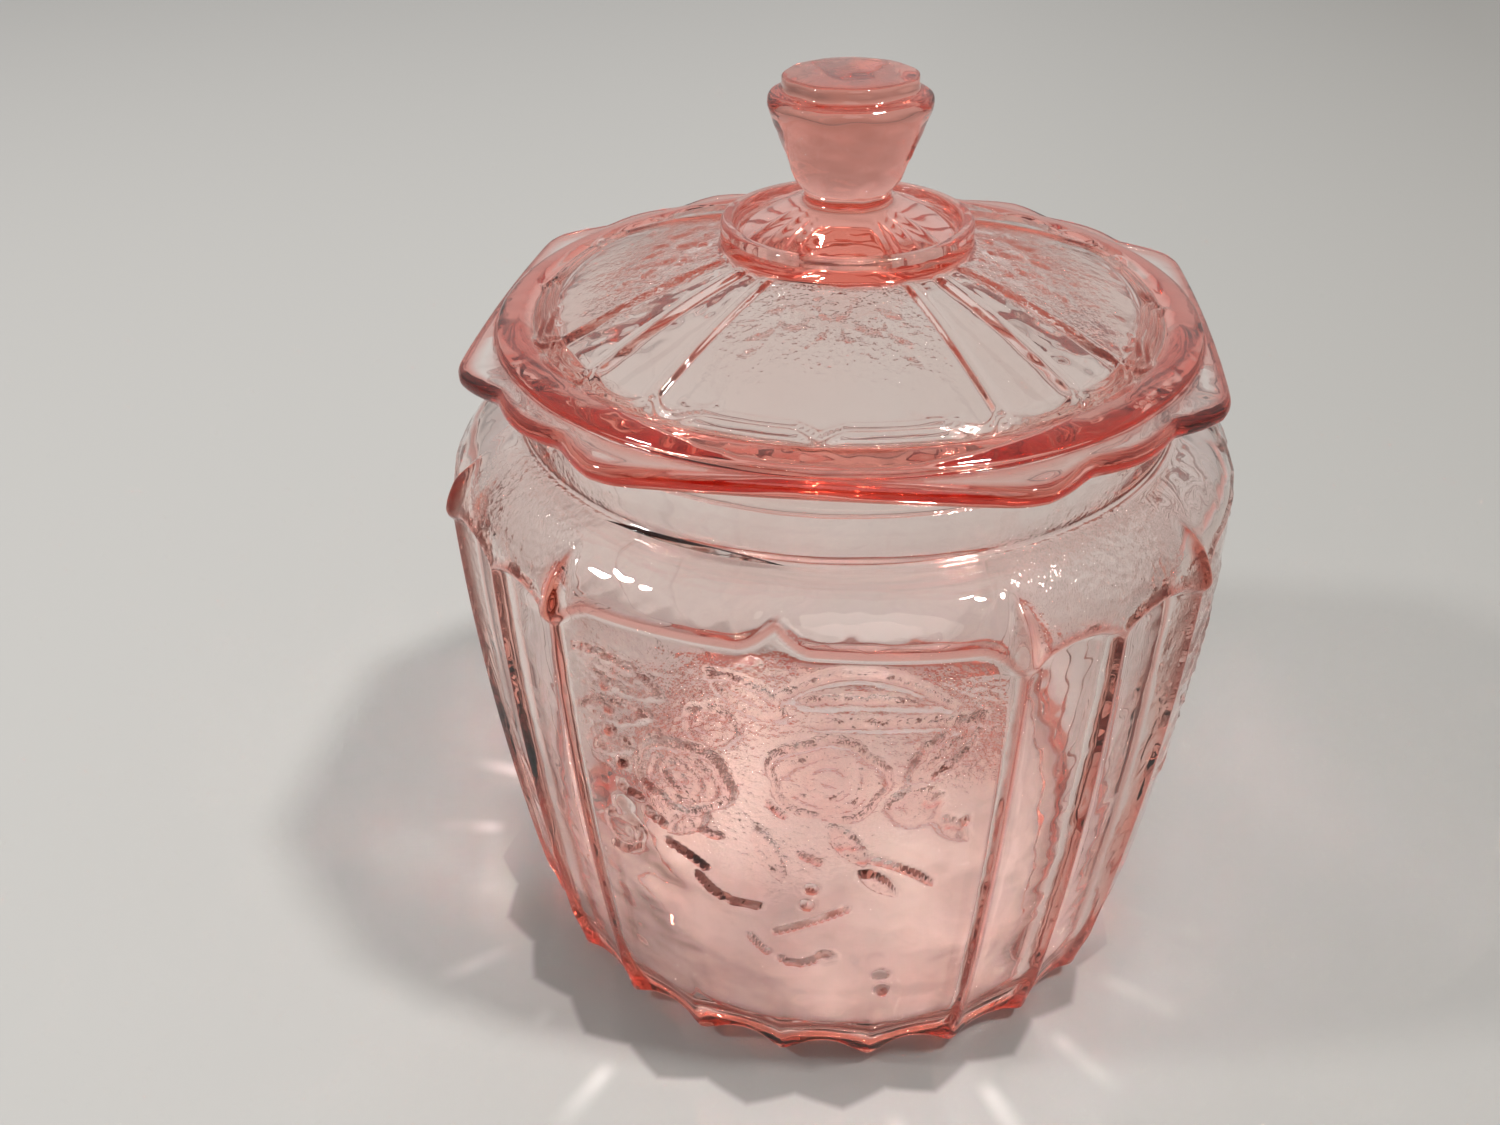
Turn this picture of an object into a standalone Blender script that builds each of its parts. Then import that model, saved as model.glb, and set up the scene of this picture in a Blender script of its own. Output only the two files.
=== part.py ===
"""Pressed-glass covered jar: a square-shouldered jar and a loose lid that rests on its round mouth.

Both pieces are closed shells swept round the vertical axis. Four wide panels face -Y, +X, +Y and -X,
and two narrow flutes fill each corner, so every feature sits on a 15 degree grid.
Lengths in the tables and constants are millimetres; MM turns them into Blender metres.
"""
import math

import bpy

MM = 0.001

# Azimuth grid, in degrees from the middle of a wide panel
QUADRANTS = 4
PANEL_HALF = 30.0
RECESS_EDGE = 27.5
CORNER = 45.0
SCALLOP = 15.0
HALF_STATIONS = (0.0, 7.5, 15.0, 22.5, RECESS_EDGE, PANEL_HALF, 33.75, 37.5, 41.25)

# Jar, outside
HEEL_RADIUS = 71.0
RIDGE_RADIUS = 81.3
HEEL_Z = 3.0
SHOULDER_Z = 112.0
RIDGE_CURVE = 1.75
CORNER_RIDGE_DROP = 1.3
HEEL_SAG = 10.0
SHOULDER_SAG = 9.0
PANEL_TOP_Z = 118.5
PANEL_RECESS = 1.4
FLUTE_DEPTH = 1.9
FLUTE_TOP_Z = 110.5
FLUTE_ARCH = 5.0
HEEL_SCALLOP = 2.5
HEEL_SCALLOP_TOP_Z = 24.0
SHOULDER_RISE = 14.8
NECK_ROOT_RADIUS = 67.2
NECK_FILLET = 1.8

# Jar, mouth, inside and foot
NECK_RADIUS = 65.4
MOUTH_RADIUS = 61.2
RIM_Z = 140.7
RIM_ROUND = 0.9
WALL = 4.4
CORNER_WALL = 6.4
INNER_RISE = 10.6
FLOOR_Z = 7.0
INNER_HEEL = 9.0
FOOT_OUTER = 62.5
FOOT_INNER = 54.0
FOOT_RECESS = 2.0
FOOT_SLOPE = 3.0

# Lid
LID_TURN = 4.0
SEAT_GAP = 0.3
FLANGE_THICK = 3.8
FLANGE_ROUND = 1.2
FLANGE_APOTHEM = 70.4
FLANGE_BOW = 1.3
FLANGE_CORNER = 76.9
CORNER_LOBE = 74.6
CORNER_NOTCH = 2.2
CORNER_START = 28.5
BAND_RADIUS = 68.2
BAND_RISE = 2.6
DOME_RADIUS = 58.3
DOME_FOOT_Z = 147.8
DOME_SCALLOP = 2.0
COLLAR_RADIUS = 24.3
COLLAR_FOOT_Z = 158.7
COLLAR_TOP_Z = 163.4
COLLAR_WALL = 2.6
COLLAR_FLOOR_Z = 161.0
RIB_HEIGHT = 0.9
SKIRT_OUTER = 60.3
SKIRT_INNER = 56.4
SKIRT_Z = 132.5
LID_WALL = 4.0
CENTRE_RADIUS = 9.0
CENTRE_Z = 158.0
# Knob outline from its foot up to the rim of its top disc: radius, height
KNOB_OUTLINE = ((8.0, 167.2), (8.8, 169.2), (10.9, 172.4), (14.7, 183.2), (15.25, 184.9), (14.5, 186.4),
                (12.7, 187.1), (12.5, 189.0), (11.6, 190.0))


def smooth(x):
    """Smooth step from 0 at x = 0 to 1 at x = 1."""
    x = min(1.0, max(0.0, x))
    return x * x * (3.0 - 2.0 * x)


def stations():
    """Azimuths once round the jar, in degrees: each half sector mirrored about a panel and a corner."""
    half = list(HALF_STATIONS) + [CORNER]
    sector = half + [2 * CORNER - a for a in reversed(half[1:-1])]
    return [quadrant * 2 * CORNER + a for quadrant in range(QUADRANTS) for a in sector]


def in_sector(azimuth):
    """Distance in degrees from the nearest panel middle, 0 to 45."""
    return abs((azimuth + CORNER) % (2 * CORNER) - CORNER)


def between_tips(azimuth):
    """0 on a scallop tip, 1 half way between two tips."""
    phase = (azimuth % SCALLOP) / SCALLOP
    return 1.0 - (2.0 * phase - 1.0) ** 2


def ring(radius_of, z_of, angles):
    """Points of one ring, from a radius and a height for each azimuth."""
    points = []
    for azimuth in angles:
        angle = math.radians(azimuth)
        radius = radius_of(azimuth)
        points.append((radius * math.sin(angle), -radius * math.cos(angle), z_of(azimuth)))
    return points


def round_ring(radius, z, angles):
    return ring(lambda azimuth: radius, lambda azimuth: z, angles)


# ---- Jar -----------------------------------------------------------------------------------------

def ridge_radius(z):
    """Radius of the two ridges beside a panel: the jar widens from heel to shoulder, less and less."""
    rise = min(1.0, max(0.0, (z - HEEL_Z) / (SHOULDER_Z - HEEL_Z)))
    return HEEL_RADIUS + (RIDGE_RADIUS - HEEL_RADIUS) * (1.0 - (1.0 - rise) ** RIDGE_CURVE)


def panel_radius(a, z):
    """Radius of a bowed panel: a parabola through its two ridges, nearly round at the heel."""
    rise = min(1.0, max(0.0, (z - HEEL_Z) / (SHOULDER_Z - HEEL_Z)))
    sag = HEEL_SAG + (SHOULDER_SAG - HEEL_SAG) * rise
    half = math.radians(PANEL_HALF)
    across = math.tan(math.radians(a)) / math.tan(half)
    depth = ridge_radius(z) * math.cos(half) + sag * (1.0 - across ** 2)
    return depth / math.cos(math.radians(a))


def plain_radius(azimuth, z):
    """Outer radius before panels and flutes are sunk, up to the foot of the neck."""
    a = in_sector(azimuth)
    body_z = min(z, SHOULDER_Z)
    if a <= PANEL_HALF:
        radius = panel_radius(a, body_z)
    else:
        drop = CORNER_RIDGE_DROP * (a - PANEL_HALF) / (CORNER - PANEL_HALF)
        radius = ridge_radius(body_z) - drop * smooth((body_z - HEEL_Z) / SHOULDER_Z)
    if z > SHOULDER_Z:
        lift = min(1.0, (z - SHOULDER_Z) / SHOULDER_RISE)
        radius = NECK_ROOT_RADIUS + (radius - NECK_ROOT_RADIUS) * math.sqrt(1.0 - lift ** 2)
    return radius


def jar_radius(azimuth, z):
    """Outer radius with the recessed panels, the arched flutes and the heel scallops."""
    a = in_sector(azimuth)
    sunk = 0.0
    if a <= PANEL_HALF:
        edge = smooth((PANEL_HALF - a) / (PANEL_HALF - RECESS_EDGE))
        sunk = PANEL_RECESS * edge * smooth((PANEL_TOP_Z - z) / 2.5) * smooth(z / HEEL_SCALLOP_TOP_Z)
        sunk += HEEL_SCALLOP * between_tips(a) * (1.0 - smooth((z - HEEL_Z) / HEEL_SCALLOP_TOP_Z))
    else:
        across = (a - (PANEL_HALF + CORNER) / 2) / ((CORNER - PANEL_HALF) / 2)
        top = FLUTE_TOP_Z + FLUTE_ARCH * math.sqrt(max(0.0, 1.0 - across ** 2))
        sunk = (FLUTE_DEPTH + 0.6 * (1.0 - smooth(z / HEEL_SCALLOP_TOP_Z))) * between_tips(a)
        sunk *= smooth((top - z) / 2.5)
    return plain_radius(azimuth, z) - sunk


def inner_radius(azimuth, z):
    """Radius of the smooth inside wall, a rounded square that follows the outside loosely."""
    body_z = min(z, SHOULDER_Z)
    panel = panel_radius(0.0, body_z) - WALL
    corner = ridge_radius(body_z) - CORNER_WALL
    radius = (panel + corner) / 2 + (panel - corner) / 2 * math.cos(math.radians(4 * azimuth))
    if z > SHOULDER_Z:
        lift = min(1.0, (z - SHOULDER_Z) / INNER_RISE)
        root = NECK_ROOT_RADIUS - WALL + 0.4
        radius = root + (radius - root) * math.sqrt(1.0 - lift ** 2)
    return radius


def jar_rings(angles):
    """All rings of the jar, from the middle of its underside, up outside and down inside."""
    foot_rings = [round_ring(FOOT_INNER - FOOT_SLOPE, FOOT_RECESS, angles),
                  round_ring(FOOT_INNER, 0.0, angles),
                  round_ring(FOOT_OUTER, 0.0, angles)]
    body_heights = (HEEL_Z, 6.0, 12.0, 20.0, 34.0, 54.0, 76.0, 96.0, 107.0, 110.5, 112.5, 114.0,
                    116.0, 119.5, 122.5, 124.8, 126.2)
    body_rings = [ring(lambda az, z=z: jar_radius(az, z), lambda az, z=z: z, angles) for z in body_heights]
    neck_rings = []
    fillet_z = SHOULDER_Z + SHOULDER_RISE + NECK_FILLET
    for step in (0, 30, 60, 90):
        turn = math.radians(step)
        neck_rings.append(round_ring(NECK_RADIUS + NECK_FILLET * (1 - math.sin(turn)),
                                     fillet_z - NECK_FILLET * math.cos(turn), angles))
    neck_rings += [round_ring(NECK_RADIUS, RIM_Z - RIM_ROUND, angles),
                   round_ring(NECK_RADIUS - RIM_ROUND, RIM_Z, angles),
                   round_ring(MOUTH_RADIUS + RIM_ROUND, RIM_Z, angles),
                   round_ring(MOUTH_RADIUS, RIM_Z - RIM_ROUND, angles),
                   round_ring(MOUTH_RADIUS, fillet_z - NECK_FILLET, angles)]
    inner_heights = (SHOULDER_Z + INNER_RISE, 120.5, 117.0, SHOULDER_Z, 84.0, 48.0, FLOOR_Z + INNER_HEEL)
    inner_rings = [ring(lambda az, z=z: inner_radius(az, z), lambda az, z=z: z, angles)
                   for z in inner_heights]
    for step in (35, 65, 90):
        turn = math.radians(step)
        z = FLOOR_Z + INNER_HEEL * (1 - math.sin(turn))
        inner_rings.append(ring(
            lambda az, turn=turn: inner_radius(az, FLOOR_Z + INNER_HEEL) - INNER_HEEL * (1 - math.cos(turn)),
            lambda az, z=z: z, angles))
    return foot_rings + body_rings + neck_rings + inner_rings


# ---- Lid -----------------------------------------------------------------------------------------

def flange_radius(azimuth):
    """Outline of the flange: bowed sides, and three lobes with two notches at each corner."""
    a = in_sector(azimuth)
    side = (FLANGE_APOTHEM - FLANGE_BOW * (a / CORNER_START) ** 2) / math.cos(math.radians(a))
    phase = max(0.0, (a - CORNER_START) / (CORNER - CORNER_START)) / 2
    lobes = CORNER_LOBE + (FLANGE_CORNER - CORNER_LOBE) * (2 * phase - 1) ** 2
    lobes -= CORNER_NOTCH * (1 - abs(math.cos(2 * math.pi * phase)))
    return min(side, lobes)


def rib(azimuth):
    """Height of the raised ribs between the dome's panels and flutes."""
    a = in_sector(azimuth)
    return RIB_HEIGHT if a in (PANEL_HALF, CORNER) else 0.0


def dome_scallop(azimuth):
    """Outward reach of the dome's foot: tips at each rib and in the middle of each wide panel."""
    a = in_sector(azimuth)
    phase = a / PANEL_HALF if a <= PANEL_HALF else (a - PANEL_HALF) / (CORNER - PANEL_HALF)
    return DOME_SCALLOP * (2.0 * phase - 1.0) ** 2


def lid_rings(angles):
    """All rings of the lid, from the middle of its underside, out and back over the dome to the knob."""
    seat_z = RIM_Z + SEAT_GAP
    flange_top = seat_z + FLANGE_THICK
    rings = [round_ring(radius, z, angles) for radius, z in reversed(KNOB_OUTLINE)]
    rings += [round_ring(COLLAR_RADIUS - COLLAR_WALL - 0.6, COLLAR_FLOOR_Z, angles),
              round_ring(COLLAR_RADIUS - COLLAR_WALL, COLLAR_TOP_Z - 0.9, angles),
              round_ring(COLLAR_RADIUS - COLLAR_WALL / 2, COLLAR_TOP_Z, angles),
              round_ring(COLLAR_RADIUS, COLLAR_TOP_Z - 0.9, angles),
              round_ring(COLLAR_RADIUS, COLLAR_FOOT_Z + 0.5, angles)]
    slope = (COLLAR_FOOT_Z - DOME_FOOT_Z) / (DOME_RADIUS - COLLAR_RADIUS)
    for radius in (COLLAR_RADIUS + 1.0, (COLLAR_RADIUS + DOME_RADIUS) / 2, DOME_RADIUS - 1.5):
        z = COLLAR_FOOT_Z - slope * (radius - COLLAR_RADIUS)
        rings.append(ring(lambda az, radius=radius: radius, lambda az, z=z: z + rib(az), angles))
    rings.append(ring(lambda az: DOME_RADIUS + dome_scallop(az), lambda az: DOME_FOOT_Z, angles))
    rings.append(ring(lambda az: DOME_RADIUS + 1.6 + dome_scallop(az),
                      lambda az: flange_top + BAND_RISE - 1.0, angles))
    rings += [round_ring(BAND_RADIUS - 3.6, flange_top + BAND_RISE - 0.9, angles),
              round_ring(BAND_RADIUS - 1.2, flange_top + 0.9, angles),
              round_ring(BAND_RADIUS - 0.6, flange_top, angles)]
    for inset, z in ((FLANGE_ROUND, flange_top), (0.0, flange_top - FLANGE_ROUND),
                     (0.0, seat_z + FLANGE_ROUND), (FLANGE_ROUND, seat_z)):
        rings.append(ring(lambda az, inset=inset: flange_radius(az) - inset, lambda az, z=z: z, angles))
    under_slope_z = DOME_FOOT_Z - LID_WALL - 0.4
    rings += [round_ring(SKIRT_OUTER, seat_z, angles),
              round_ring(SKIRT_OUTER, SKIRT_Z + 1.0, angles),
              round_ring(SKIRT_OUTER - 1.0, SKIRT_Z, angles),
              round_ring(SKIRT_INNER + 0.8, SKIRT_Z, angles),
              round_ring(SKIRT_INNER, SKIRT_Z + 1.0, angles),
              round_ring(SKIRT_INNER, under_slope_z, angles),
              round_ring(COLLAR_RADIUS, COLLAR_FOOT_Z - LID_WALL, angles),
              round_ring(CENTRE_RADIUS, CENTRE_Z, angles)]
    return rings[::-1]


# ---- Building ------------------------------------------------------------------------------------

def shell_mesh(name, rings, first_z, last_z):
    """Closed mesh through the rings, with a centre point under the first and over the last ring."""
    count = len(rings[0])
    verts = [point for points in rings for point in points]
    faces = []
    for row in range(len(rings) - 1):
        for column in range(count):
            beside = (column + 1) % count
            faces.append((row * count + column, row * count + beside,
                          (row + 1) * count + beside, (row + 1) * count + column))
    start = len(verts)
    verts += [(0.0, 0.0, first_z), (0.0, 0.0, last_z)]
    last = (len(rings) - 1) * count
    for column in range(count):
        beside = (column + 1) % count
        faces.append((start, beside, column))
        faces.append((start + 1, last + column, last + beside))
    mesh = bpy.data.meshes.new(name)
    mesh.from_pydata([tuple(MM * value for value in vert) for vert in verts], [], faces)
    mesh.validate()
    mesh.shade_smooth()
    mesh.set_sharp_from_angle(angle=math.radians(35.0))
    return mesh


def glass_material(name, color):
    """Clear tinted glass."""
    material = bpy.data.materials.new(name)
    material.use_nodes = True
    shader = material.node_tree.nodes["Principled BSDF"]
    shader.inputs["Base Color"].default_value = (*color, 1.0)
    shader.inputs["Metallic"].default_value = 0.0
    shader.inputs["Roughness"].default_value = 0.05
    shader.inputs["IOR"].default_value = 1.52
    shader.inputs["Transmission Weight"].default_value = 0.9
    return material


def add_piece(name, mesh, material, parent, turn=0.0):
    """One named object, standing on the shared axis and turned about it."""
    piece = bpy.data.objects.new(name, mesh)
    piece.data.materials.append(material)
    piece.rotation_euler = (0.0, 0.0, math.radians(turn))
    piece.parent = parent
    bpy.context.scene.collection.objects.link(piece)
    return piece


def build():
    for old in list(bpy.data.objects):
        bpy.data.objects.remove(old)
    axis = bpy.data.objects.new("jar_axis", None)
    bpy.context.scene.collection.objects.link(axis)
    angles = stations()
    jar = shell_mesh("jar", jar_rings(angles), FOOT_RECESS, FLOOR_Z)
    lid = shell_mesh("lid", lid_rings(angles), CENTRE_Z, KNOB_OUTLINE[-1][1])
    add_piece("jar", jar, glass_material("jar_glass", (0.88, 0.60, 0.56)), axis)
    add_piece("lid", lid, glass_material("lid_glass", (0.86, 0.55, 0.50)), axis, LID_TURN)


build()
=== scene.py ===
"""Looks of the pressed-glass covered jar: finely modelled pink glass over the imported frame."""
import math

import bpy
import numpy as np
from mathutils import Matrix, Vector


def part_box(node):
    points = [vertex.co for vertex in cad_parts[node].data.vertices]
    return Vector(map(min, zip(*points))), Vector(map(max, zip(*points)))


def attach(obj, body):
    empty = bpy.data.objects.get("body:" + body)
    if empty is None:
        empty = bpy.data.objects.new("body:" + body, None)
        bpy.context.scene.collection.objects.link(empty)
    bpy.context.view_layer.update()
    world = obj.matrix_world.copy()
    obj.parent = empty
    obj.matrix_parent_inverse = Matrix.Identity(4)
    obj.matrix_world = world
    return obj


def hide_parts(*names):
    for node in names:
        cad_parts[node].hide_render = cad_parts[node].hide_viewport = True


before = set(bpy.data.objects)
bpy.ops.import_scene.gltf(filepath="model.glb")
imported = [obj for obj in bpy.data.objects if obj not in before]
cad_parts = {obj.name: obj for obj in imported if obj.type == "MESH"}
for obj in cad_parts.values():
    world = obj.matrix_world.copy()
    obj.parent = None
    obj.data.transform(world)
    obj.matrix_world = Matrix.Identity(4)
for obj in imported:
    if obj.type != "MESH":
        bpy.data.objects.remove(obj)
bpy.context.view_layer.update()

MM = 0.001

# Heights read from the frame, in millimetres
RIM_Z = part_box("jar")[1][2] / MM
LID_TOP_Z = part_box("lid")[1][2] / MM
SKIRT_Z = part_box("lid")[0][2] / MM

# Azimuth grid, in degrees from the middle of a wide panel
PANEL_HALF = 30.0
CORNER = 45.0
SCALLOP = 15.0
FLUTE_MID = (PANEL_HALF + CORNER) / 2
PANEL_EDGE = 2.6
EDGE_COLUMNS = 9
PANEL_COLUMNS = (124, 70, 70, 70)
FLUTE_COLUMNS = 13
COARSE_COLUMNS = 180

# Jar, outside
HEEL_RADIUS = 71.2
RIDGE_RADIUS = 81.3
HEEL_Z = 5.0
SHOULDER_Z = 112.0
RIDGE_CURVE = 1.75
CORNER_RIDGE_DROP = 1.3
HEEL_SAG = 10.0
SHOULDER_SAG = 9.0
CREST = 0.9
SIDE_BEVEL = 1.4
TOP_BEVEL = 2.2
FIELD_STEP = 0.8
FLUTE_HOLLOW = 0.9
PANEL_TOP_Z = 119.1
BRACKET_CUSP = 3.5
BRACKET_END = 4.2
FLUTE_TOP_Z = 111.0
FLUTE_ARCH = 5.4
HEEL_SCALLOP = 3.2
HEEL_ARCH = 0.9
HEEL_SOFTENING = 2.2
HEEL_SCALLOP_TOP_Z = 24.0
SHOULDER_RISE = 14.8
RIDGE_SOFTENING = ((-0.6, 1 / 9), (-0.3, 2 / 9), (0.0, 3 / 9), (0.3, 2 / 9), (0.6, 1 / 9))
REAR_SOFTENING = 2.2
SPRAY_FOOT_Z = 27.0
SIDE_CALM = 0.6
BEAD_HEIGHT = 0.48
BEAD_HALF = 1.5
BEAD_SIDE = 0.8

# Painted shade: how far the glass's colour deepens, from 0 to 1, and where; it stands in for the darker,
# redder look of light piped and refracted through thick glass, mostly on the front
PAINTED_SHADE_SIDE = 95.0
PAINTED_SHADE_FADE = 20.0
HEEL_PAINTED_SHADE = 1.0
HEEL_PAINTED_SHADE_TOP_Z = 12.5
HEEL_PAINTED_SHADE_DIP = 1.5
BEAD_PAINTED_SHADE = 0.8
RIB_PAINTED_SHADE = 1.0
RIGHT_RIB_PALER = 0.6
LOW_PAINTED_SHADE = 0.18
LOW_PAINTED_SHADE_TOP_Z = 85.0
LOW_PAINTED_SHADE_FADE = 60.0
SPRAY_PAINTED_SHADE = 0.22
STEM_PAINTED_SHADE = 1.0
KNOB_PAINTED_SHADE = 0.42
COLLAR_PAINTED_SHADE = 0.6
BAND_PAINTED_SHADE = 0.8

# Jar, shoulder, stems and neck
SHOULDER_RIB = 2.0
SHOULDER_RIB_HALF = 1.7
SHOULDER_WAVE = 0.09
STEM_HEIGHT = 1.2
NECK_ROOT_RADIUS = 67.2
NECK_FILLET = 1.8

# Jar, mouth, inside and foot
NECK_RADIUS = 65.4
MOUTH_RADIUS = 61.2
RIM_ROUND = 1.2
WALL = 4.4
CORNER_WALL = 6.4
INNER_RISE = 10.6
INNER_WAVE = 0.3
FLOOR_WAVE = 0.45
FOOT_WAVE = 0.3
FLOOR_Z = 7.0
INNER_HEEL = 10.0
FOOT_OUTER = 62.5
FOOT_INNER = 54.0
FOOT_RECESS = 2.0
FOOT_CLEAR = 0.05

# Lid
LID_TURN = 4.0
SEAT_Z = RIM_Z + 0.3
FLANGE_TOP_Z = SEAT_Z + 3.8
FLANGE_ROUND = 1.7
FLANGE_APOTHEM = 70.4
FLANGE_BOW = 1.3
FLANGE_CORNER = 76.9
CORNER_LOBE = 74.6
CORNER_NOTCH = 2.2
CORNER_START = 28.5
BAND_RADIUS = 68.6
BAND_RISE = 2.4
DOME_RADIUS = 58.3
DOME_FOOT_Z = 147.8
DOME_CROWN = 0.9
VALLEY_RADIUS = 61.3
BAND_CREST = 0.4
BAND_INNER_DIP = 0.38
FOOT_LINE = 57.0
RIB_HEIGHT = 0.75
RIB_HALF = 1.45
COLLAR_RADIUS = 24.3
COLLAR_FOOT_Z = 158.7
COLLAR_TOP_Z = 163.4
COLLAR_INNER = 21.6
COLLAR_FLOOR_Z = 160.8
SKIRT_OUTER = 60.3
SKIRT_INNER = 56.4
LID_WALL = 4.0
CENTRE_RADIUS = 9.0
CENTRE_Z = 158.0
KNOB_FOOT_RADIUS = 8.0
KNOB_FOOT_Z = 167.2
KNOB_WAVE = 0.15

# Light taken up by the glass, per metre, in red, green and blue
JAR_DENSITY = 16.5
LID_DENSITY = 26.0
GLASS_TINT = (0.97, 0.30, 0.10)
GLASS_IOR = 1.5

# The light that the glass gathers under the jar is stood in for by a paler patch, in metres
POOL_INNER = 0.045
POOL_OUTER = 0.07

# Shade and gathered light on the floor round the heel; both follow the heel's scallops
SCALLOPS = 24.0
SHADE_DEPTH = 0.45
GLINT_STRENGTH = 0.6
SHADE_REACH = 0.0735
SHADE_SCALLOP = 0.0075
SHADE_PLACE = (0.0055, 0.0045, 0.0)
GLINT_START = 0.0775
GLINT_END = 0.1

# A dim patch of the surroundings, where the viewer stands
VIEWER_SHADE_SCALE = 1.5
VIEWER_SHADE_PLACE = (-0.15, 1.35, -0.45)


# ---- Small helpers -------------------------------------------------------------------------------

def smooth(x):
    """Smooth step from 0 at x = 0 to 1 at x = 1."""
    x = np.clip(x, 0.0, 1.0)
    return x * x * (3.0 - 2.0 * x)


def folded(azimuth):
    """Signed distance in degrees from the nearest panel middle, -45 to 45."""
    return (azimuth + CORNER) % (2 * CORNER) - CORNER


def between_tips(azimuth):
    """0 on a scallop tip, 1 half way between two tips."""
    phase = (azimuth % SCALLOP) / SCALLOP
    return 1.0 - (2.0 * phase - 1.0) ** 2


def dense_angles():
    """Azimuths of the finely modelled rings, closer at the ridges and finest on the front panel."""
    inner = PANEL_HALF - PANEL_EDGE
    share = (1 - np.cos(np.linspace(0, math.pi, FLUTE_COLUMNS, endpoint=False))) / 2
    flute = PANEL_HALF + SCALLOP * share
    sectors = []
    for quadrant, columns in enumerate(PANEL_COLUMNS):
        sector = np.concatenate([np.linspace(-PANEL_HALF, -inner, EDGE_COLUMNS, endpoint=False),
                                 np.linspace(-inner, inner, columns, endpoint=False),
                                 np.linspace(inner, PANEL_HALF, EDGE_COLUMNS, endpoint=False),
                                 flute, flute + SCALLOP])
        sectors.append(sector + 2 * CORNER * quadrant)
    return np.concatenate(sectors)


def coarse_angles():
    return np.arange(COARSE_COLUMNS) * 360.0 / COARSE_COLUMNS


DENSE = dense_angles()
COARSE = coarse_angles()


def ring(angles, radius, z):
    """One ring of points as an array of x, y, z, with its azimuths."""
    turn = np.radians(angles)
    radius = np.broadcast_to(radius, angles.shape)
    height = np.broadcast_to(z, angles.shape)
    return angles, np.stack([radius * np.sin(turn), -radius * np.cos(turn), height], axis=1)


def arc(centre_radius, centre_z, radius, start, end, steps):
    """Points of a profile arc; angles in degrees from outwards, counter-clockwise upwards."""
    turns = np.radians(np.linspace(start, end, steps))
    return [(centre_radius + radius * math.cos(t), centre_z + radius * math.sin(t)) for t in turns]


def stitch(angles_a, start_a, angles_b, start_b):
    """Triangles between two rings that have different numbers of points."""
    faces = []
    i = j = 0
    count_a, count_b = len(angles_a), len(angles_b)
    wrap_a = np.append(angles_a, angles_a[0] + 360.0)
    wrap_b = np.append(angles_b, angles_b[0] + 360.0)
    while i < count_a or j < count_b:
        step_a = i < count_a and (j >= count_b or wrap_a[i + 1] <= wrap_b[j + 1])
        corner_a = start_a + i % count_a
        corner_b = start_b + j % count_b
        if step_a:
            faces.append((corner_a, start_a + (i + 1) % count_a, corner_b))
            i += 1
        else:
            faces.append((corner_a, start_b + (j + 1) % count_b, corner_b))
            j += 1
    return faces


def shell_object(name, rings, first_z, last_z, material, masks):
    """Closed smooth-shaded mesh through the rings, pole to pole, with a named mask per point."""
    points, faces, offset = [], [], 0
    for index, (angles, verts) in enumerate(rings):
        points.append(verts)
        if index + 1 < len(rings):
            upper = rings[index + 1][0]
            if len(upper) == len(angles):
                here = np.arange(len(angles)) + offset
                beside = np.roll(here, -1)
                quads = np.stack([here, beside, beside + len(angles), here + len(angles)], axis=1)
                faces += quads.tolist()
            else:
                faces += stitch(angles, offset, upper, offset + len(angles))
        offset += len(angles)
    last = offset - len(rings[-1][0])
    points += [np.array([[0.0, 0.0, first_z], [0.0, 0.0, last_z]])]
    for start, pole, flip in ((0, offset, True), (last, offset + 1, False)):
        count = len(rings[0][0]) if flip else len(rings[-1][0])
        for column in range(count):
            pair = (start + column, start + (column + 1) % count)
            faces.append((pole, pair[1], pair[0]) if flip else (pole, pair[0], pair[1]))
    verts = np.concatenate(points)
    mesh = bpy.data.meshes.new(name)
    mesh.from_pydata((verts * MM).tolist(), [], faces)
    mesh.shade_smooth()
    for label, mask in masks.items():
        attribute = mesh.attributes.new(label, "FLOAT", "POINT")
        attribute.data.foreach_set("value", mask(verts).astype(np.float32))
    mesh.materials.append(material)
    piece = bpy.data.objects.new(name, mesh)
    bpy.context.scene.collection.objects.link(piece)
    return piece


# ---- Relief --------------------------------------------------------------------------------------
# Every motif takes points (x across, y up, both in millimetres) and returns a height.

def leaf(x, y, tip, base, width, height=1.25, teeth=0):
    """A pointed leaf with a raised rim and midrib, from base to tip."""
    along = np.subtract(tip, base)
    length = math.hypot(*along)
    along = along / length
    u = (x - base[0]) * along[0] + (y - base[1]) * along[1]
    v = -(x - base[0]) * along[1] + (y - base[1]) * along[0]
    t = np.clip(u / length, 0.0, 1.0)
    half = width / 2 * np.sin(math.pi * t ** 0.85) ** 0.8
    if teeth:
        half = half * (1.0 - 0.16 * np.abs(np.sin(math.pi * teeth * t)))
    inside = np.where((u > 0) & (u < length), half - np.abs(v), -1.0)
    body = smooth(inside / 0.8)
    hollow = smooth((inside - 1.0) / 0.8)
    midrib = np.exp(-(v / 0.5) ** 2) * 0.55
    veins = 0.12 * np.cos(2 * math.pi * (u - np.abs(v) * 1.2) / 2.2)
    return height * np.clip(body - (0.8 - midrib - veins) * hollow, 0.0, None)


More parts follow.
